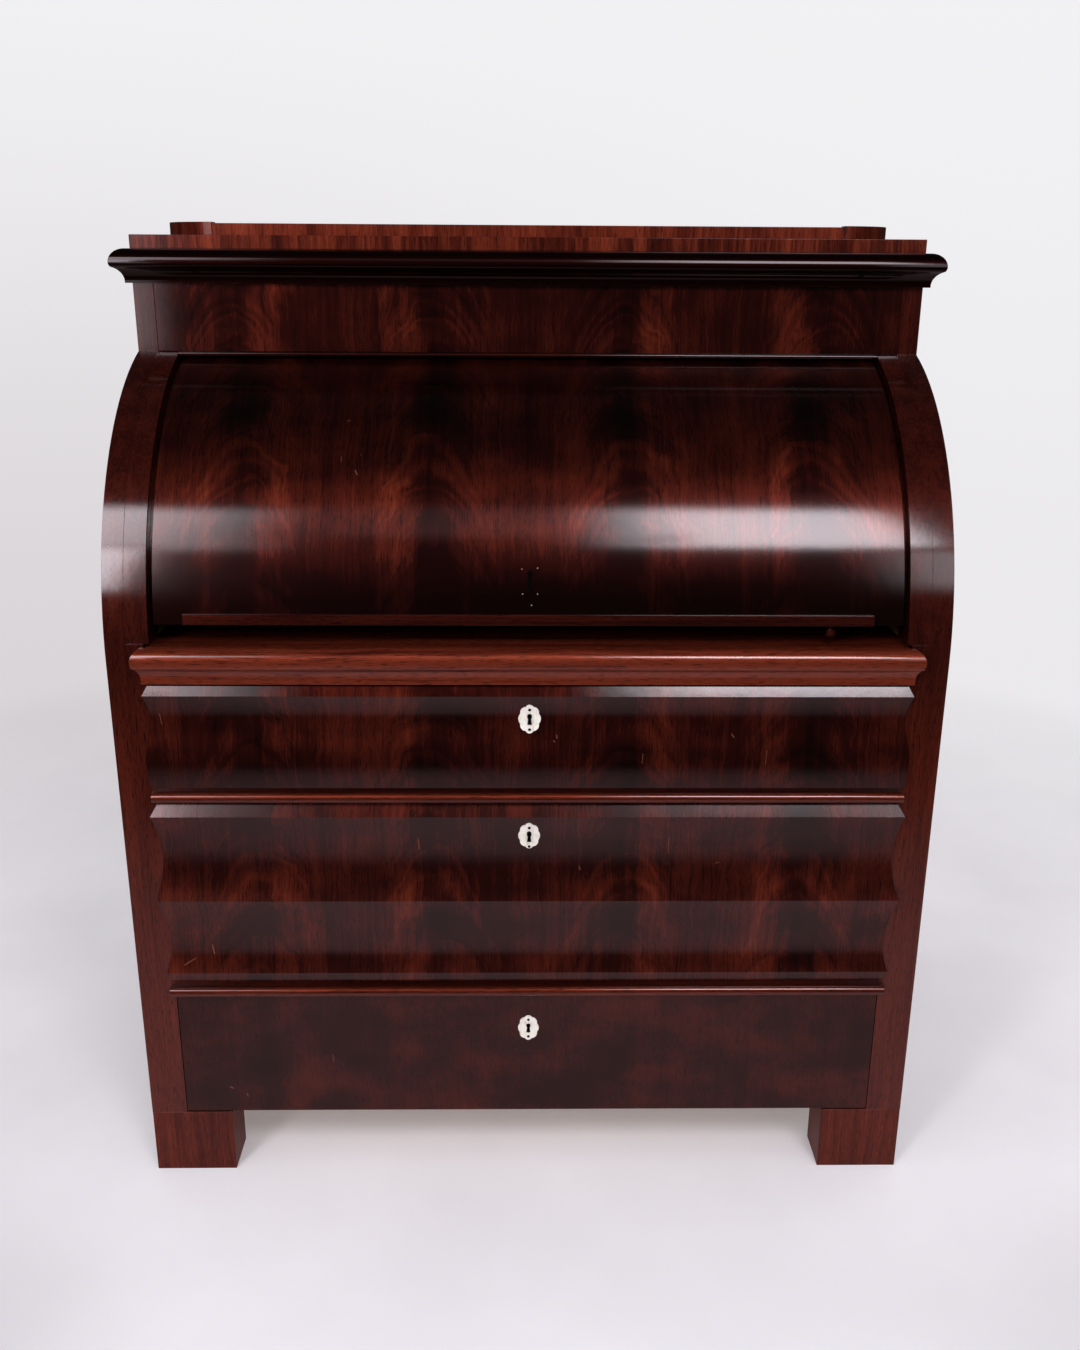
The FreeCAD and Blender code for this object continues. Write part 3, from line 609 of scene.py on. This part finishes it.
def build_camera():
    forward = Vector((math.sin(camera_yaw) * math.cos(camera_pitch),
                      math.cos(camera_yaw) * math.cos(camera_pitch), -math.sin(camera_pitch)))
    right = Vector((math.cos(camera_yaw), -math.sin(camera_yaw), 0))
    down = forward.cross(right)
    level = math.cos(camera_roll) * right + math.sin(camera_roll) * down
    upright = math.sin(camera_roll) * right - math.cos(camera_roll) * down
    turn = Matrix((level, upright, -forward)).transposed()
    data = bpy.data.cameras.new("camera")
    data.sensor_width = sensor
    data.lens = focal_pixels / image_height * sensor
    camera = bpy.data.objects.new("camera", data)
    camera.matrix_world = Matrix.Translation(camera_place) @ turn.to_4x4()
    bpy.context.scene.collection.objects.link(camera)
    bpy.context.scene.camera = camera


def glowing(name, strength, rise, fall, rest, foot, crest):
    """Light that rises from the inner edge, falls to a rest towards the outer one, and fades up and down."""
    made = bpy.data.materials.new(name)
    graph = emptied(made)
    x, y, z = graph.place()
    falling = graph.sum(1.0, graph.times(graph.step(x, *fall), rest - 1.0))
    upright = graph.times(graph.step(z, *foot), graph.step(z, *reversed(crest)))
    level = graph.times(graph.step(x, *rise), falling, upright, strength)
    emission = graph.node("ShaderNodeEmission", {"Color": panel_colour, "Strength": level}).outputs[0]
    clear = graph.node("ShaderNodeBsdfTransparent").outputs[0]
    both = graph.node("ShaderNodeAddShader", {0: emission, 1: clear})
    graph.node("ShaderNodeOutputMaterial", {"Surface": both.outputs[0]})
    return made


def build_panel(name, strength, rise, fall, rest, foot, crest, distance=panel_distance):
    """Upright soft panel, from the start of its rise to the end of its fall."""
    inner, outer, low, high = rise[0], fall[1], foot[0], crest[1]
    corners = [(inner, distance, low), (outer, distance, low),
               (outer, distance, high), (inner, distance, high)]
    panel = stage_plane(name, corners, glowing(name, strength, rise, fall, rest, foot, crest))
    panel.visible_camera = False


def paper():
    """Pale floor paper, a little smudged, that fades out with distance."""
    made = bpy.data.materials.new("floor")
    graph = emptied(made)
    x, y, z = graph.place()
    distance = graph.math("SQRT", graph.sum(graph.times(x, x), graph.times(y, y)))
    smudge = graph.noise(graph.over(x, floor_smudge), graph.over(y, floor_smudge), 0.0, 4.0)
    colour = graph.ramp(smudge, (0.35, floor_low), (0.70, floor_high))
    # Painted shade on the floor, to the left of the desk and in front of its corners
    beside = graph.times(graph.step(x, *left_shade_across), left_shade)
    corner = graph.times(graph.step(graph.math("ABSOLUTE", x), *corner_shade_across),
                         graph.step(y, *corner_shade_forward), corner_shade)
    colour = graph.mix(graph.sum(beside, corner), colour, black)
    # Painted reflection: the floor is dimmer and redder as the polish sees it
    glossy = graph.node("ShaderNodeLightPath").outputs["Is Glossy Ray"]
    colour = graph.mix(glossy, colour, painted_floor_reflection_tint, "MULTIPLY")
    lit = graph.node("ShaderNodeBsdfDiffuse", {"Color": colour}).outputs[0]
    # Painted light: the floor glows a little, lighting the desk from below
    glow = graph.node("ShaderNodeEmission", {"Color": colour, "Strength": floor_glow / floor_mean}).outputs[0]
    both = graph.node("ShaderNodeAddShader", {0: lit, 1: glow}).outputs[0]
    clear = graph.node("ShaderNodeBsdfTransparent").outputs[0]
    gone = graph.math("MAXIMUM", graph.step(distance, *floor_fade), graph.step(y, *floor_front))
    blend = graph.node("ShaderNodeMixShader", {0: gone, 1: both, 2: clear})
    graph.node("ShaderNodeOutputMaterial", {"Surface": blend.outputs[0]})
    return made


def build_floor():
    reach = floor_reach
    corners = [(-reach, -reach, 0), (reach, -reach, 0), (reach, reach, 0), (-reach, reach, 0)]
    stage_plane("floor", corners, paper())


def build_world():
    """Pale surround behind the desk; a dim room in what the polish reflects."""
    world = bpy.data.worlds.new("studio")
    bpy.context.scene.world = world
    graph = emptied(world)
    across, forward, height = graph.parts(graph.node("ShaderNodeTexCoord").outputs["Generated"])
    surround = graph.mix(graph.step(across, *surround_across), surround_left, surround_right)
    surround = graph.mix(graph.step(height, *surround_rise), surround, surround_high)
    path = graph.node("ShaderNodeLightPath").outputs
    colour = graph.mix(path["Is Diffuse Ray"], room_gloss, room_fill)
    colour = graph.mix(path["Is Camera Ray"], colour, surround)
    light = graph.node("ShaderNodeBackground", {"Color": colour, "Strength": 1.0})
    graph.node("ShaderNodeOutputWorld", {"Surface": light.outputs[0]})


build_camera()
build_world()
build_floor()
build_panel("panel_right", strength=15.0, rise=(0.15, 0.75), fall=(1.36, 1.52), rest=0.22,
            foot=(2.36, 2.58), crest=(3.54, 4.10))
build_panel("panel_left", strength=11.0, rise=(-0.75, -1.80), fall=(-1.90, -2.20), rest=0.35,
            foot=(2.20, 2.50), crest=(3.50, 4.00))
build_panel("panel_middle", strength=0.3, rise=(-1.00, -0.60), fall=(0.30, 0.60), rest=0.0,
            foot=(2.60, 2.90), crest=(3.60, 4.15))
build_panel("fill_right", strength=3.2, rise=(1.15, 1.40), fall=(1.60, 1.90), rest=0.35,
            foot=(1.30, 1.70), crest=(2.25, 2.45))
build_panel("fill_left", strength=13.0, rise=(-1.28, -1.36), fall=(-1.80, -2.10), rest=0.35,
            foot=(1.28, 1.52), crest=(2.20, 2.50))
build_panel("sheen_left", strength=2.2, rise=(-0.67, -0.76), fall=(-0.90, -0.95), rest=0.35,
            foot=(1.00, 1.04), crest=(1.24, 1.30), distance=sheen_distance)
bpy.context.scene.view_settings.view_transform = "Standard"

# Figured veneer
paint(figured_veneer("veneer_frieze", leaf=0.255, seed=1.0, level=1.12, light=-0.04, contrast=1.20,
                     plume=1.25, coat_roughness=0.10),
      "frieze_board")
# The cylinder's veneer carries painted shade, darker towards its lower edge
paint(figured_veneer("veneer_cylinder", leaf=0.235, seed=5.0, arc=True, light=0.07, contrast=1.25, shade=0.40,
                     marks=cylinder_scratches, gloss=0.34, sheen=0.88, coat_roughness=0.11, coat=0.88),
      "cylinder_shell")
paint(figured_veneer("veneer_top_drawer", leaf=0.231, seed=9.0, level=0.64, light=-0.01, contrast=1.35,
                     plume=0.7, marks=top_scratches, sheen=0.68, coat_roughness=0.05),
      "drawer_top_front")
paint(figured_veneer("veneer_middle_drawer", leaf=0.231, seed=13.0, level=0.42, light=0.06, contrast=1.35,
                     plume=0.7, marks=middle_scratches, patches=chamfer_patches, sheen=0.62,
                     coat_roughness=0.145),
      "drawer_middle_front")
paint(figured_veneer("veneer_bottom_drawer", leaf=0.231, seed=21.0, level=0.18, plume=0.25, cloud=1.6,
                     streaks=0.4, marks=bottom_scratches, sheen=0.6, coat_roughness=0.22, coat=0.85),
      "drawer_bottom_front")

# Plain mahogany
# The sides carry painted shade on the upper part of their front and inner faces
paint(straight_mahogany("mahogany_sides", "z", seed=2.0, light=0.18, depth=0.6, shade=0.18, gloss=0.34,
                        sheen=0.5, coat_roughness=0.10),
      "side_panel_left", "side_panel_right", "stile_left", "stile_right", "cylinder_guide_left",
      "cylinder_guide_right")
paint(straight_mahogany("mahogany_feet", "z", seed=6.0, light=0.23, sheen=0.6, coat_roughness=0.30, coat=0.6),
      "foot_front_left", "foot_front_right", "feet_rear")
paint(straight_mahogany("mahogany_nosing", "x", seed=4.0, light=0.45, wear=0.5, depth=2.4,
                        patches=nosing_patches, sheen=0.55, coat_roughness=0.07),
      "slide_nosing")
# Painted shade: the slide board is the nosing's wood made darker, for the shadow the cylinder casts over it
paint(straight_mahogany("mahogany_slide_painted_shade", "x", seed=4.0, light=0.33, depth=1.8, sheen=0.55,
                        coat_roughness=0.07),
      "slide_board")
paint(straight_mahogany("mahogany_mouldings", "x", seed=4.0, light=0.24, wear=0.8, coat_roughness=0.06),
      "divider_bead_upper", "divider_bead_lower")
paint(straight_mahogany("mahogany_lip", "x", seed=5.0, light=0.02, coat_roughness=0.06), "cylinder_lip")
paint(straight_mahogany("mahogany_frieze_bead", "x", seed=4.0, light=-0.05, coat_roughness=0.08),
      "frieze_bead")
paint(straight_mahogany("mahogany_cornice", "x", seed=8.0, light=-0.36, wear=0.1, gloss=0.30,
                        coat_roughness=0.06, coat=0.45),
      "cornice_front")
paint(straight_mahogany("mahogany_cornice_returns", "y", seed=8.0, light=-0.36, gloss=0.30,
                        coat_roughness=0.06, coat=0.45),
      "cornice_returns")
paint(straight_mahogany("mahogany_crown", "cross", seed=12.0, light=0.26, depth=1.3, sheen=0.6,
                        coat_roughness=0.16, coat=0.5),
      "crown_front", "crown_corners")
paint(straight_mahogany("mahogany_top_board", "cross", seed=14.0, light=0.18, depth=1.8, sheen=0.6,
                        coat_roughness=0.16, coat=0.5),
      "top_board")
paint(straight_mahogany("mahogany_crown_sides", "y", seed=12.0, light=0.245, sheen=0.6, coat_roughness=0.16,
                        coat=0.5),
      "crown_sides")
paint(straight_mahogany("mahogany_inside", "x", seed=16.0, light=0.06, coat_roughness=0.14),
      "nest_frame", "nest_partitions", "nest_drawer_left", "nest_drawer_right",
      "slide_rail", "divider_rail_upper", "divider_rail_lower", "cylinder_button")

# Pine, bone and iron
paint(pine("pine_boards", "z", seed=0.3, edge=boards_low.x, pitch=back_board_pitch), "back_boards")
paint(pine("pine_width", "x", seed=0.8), "bottom_board", "nest_back", *on_drawers("bottom", "back"))
paint(pine("pine_depth", "y", seed=1.7), "drawer_runners", "drawer_guides", "slide_bearers",
      *on_drawers("sides"))
paint(bone("bone"), "nest_knob_left", "nest_knob_right", *on_drawers("escutcheon"))
paint(iron("iron"), "cylinder_lock", *on_drawers("lock"))

for name in nodes:
    if name not in sharp_nodes:
        close = any(part in name for part in close_fits)
        soften(name, close_round if close else edge_round)

# Painted shade: thin dark sheets stand where the keyholes' hollows are; the blackened pins share their finish
hole_shade_and_pin_finish = hole_shade_and_pin_dark("keyhole")
for drawer in drawers:
    build_escutcheon_details(drawer, hole_shade_and_pin_finish)
build_cylinder_details(iron("nail", nail_rub), hole_shade_and_pin_finish)
